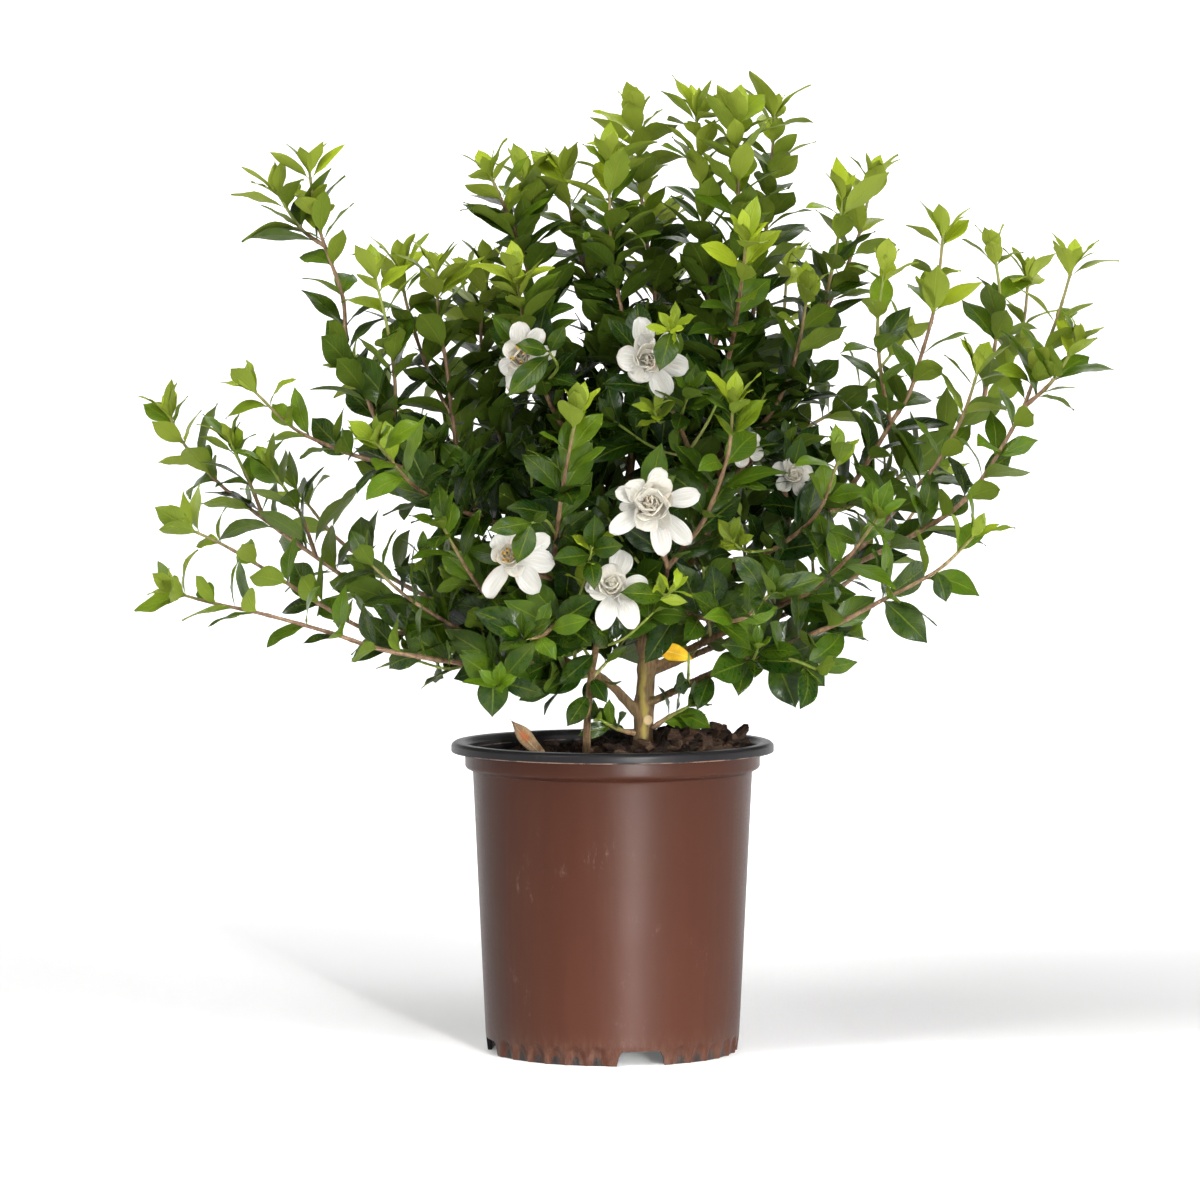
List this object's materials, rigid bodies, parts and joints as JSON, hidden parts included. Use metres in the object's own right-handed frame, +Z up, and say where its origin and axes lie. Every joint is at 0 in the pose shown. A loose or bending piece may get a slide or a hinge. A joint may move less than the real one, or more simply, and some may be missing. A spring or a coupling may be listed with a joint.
{
  "type": "potted gardenia",
  "caption": "Leafy gardenia bush with white double blooms and a woody trunk, growing in bark mix in a round tapered plastic nursery pot with a rolled rim.",
  "frame": {"origin": "on the pot's axis, at the ground under its foot ring", "axes": "+Z up along the pot's axis; -Y faces the camera of the picture, +X to its right"},
  "size_m": [0.7231, 0.4148, 0.7252],
  "materials": {
    "pot_plastic": "satin brown wall with a black rim and black inside",
    "potting_mix": "dark brown bark mulch, rough",
    "bark": "tan to olive brown bark, dull",
    "leaf_green": "glossy green leaves and green stems",
    "petal_white": "soft cream white petals",
    "leaf_yellow": "yellow ageing leaf, satin",
    "leaf_dry": "dry curled leaf, dull"
  },
  "bodies": {
    "root": {"bloom_high": "petal_white", "bloom_inner": "petal_white", "bloom_left": "petal_white", "bloom_low": "petal_white", "bloom_middle": "petal_white", "bloom_right": "petal_white", "bloom_upper_left": "petal_white", "dry_leaf": "leaf_dry", "pot": "pot_plastic", "second_stem": "bark", "shoot_back_left_high": "leaf_green", "shoot_back_left_low": "leaf_green", "shoot_back_low": "leaf_green", "shoot_back_middle": "leaf_green", "shoot_back_right_high": "leaf_green", "shoot_back_right_low": "leaf_green", "shoot_back_top": "leaf_green", "shoot_bloom_high": "leaf_green", "shoot_bloom_inner": "leaf_green", "shoot_bloom_left": "leaf_green", "shoot_bloom_low": "leaf_green", "shoot_bloom_middle": "leaf_green", "shoot_bloom_right": "leaf_green", "shoot_bloom_upper_left": "leaf_green", "shoot_front_down": "leaf_green", "shoot_front_high": "leaf_green", "shoot_front_left": "leaf_green", "shoot_front_low": "leaf_green", "shoot_left_centre": "leaf_green", "shoot_left_crumpled": "leaf_green", "shoot_left_far": "leaf_green", "shoot_left_front": "leaf_green", "shoot_left_inner": "leaf_green", "shoot_left_level": "leaf_green", "shoot_left_lower": "leaf_green", "shoot_left_lowest": "leaf_green", "shoot_left_tall": "leaf_green", "shoot_left_upright": "leaf_green", "shoot_right_back": "leaf_green", "shoot_right_centre": "leaf_green", "shoot_right_drooping": "leaf_green", "shoot_right_far": "leaf_green", "shoot_right_front": "leaf_green", "shoot_right_inner": "leaf_green", "shoot_right_low": "leaf_green", "shoot_right_middle": "leaf_green", "shoot_right_tall": "leaf_green", "shoot_right_upright": "leaf_green", "shoot_sprout_left": "leaf_green", "shoot_sprout_right": "leaf_green", "shoot_top_fork": "leaf_green", "shoot_top_front": "leaf_green", "shoot_top_left": "leaf_green", "shoot_top_left_front": "leaf_green", "shoot_top_middle": "leaf_green", "shoot_top_right": "leaf_green", "shoot_top_twin": "leaf_green", "soil": "potting_mix", "trunk": "bark", "yellow_leaf": "leaf_yellow"}
  },
  "joints": []
}
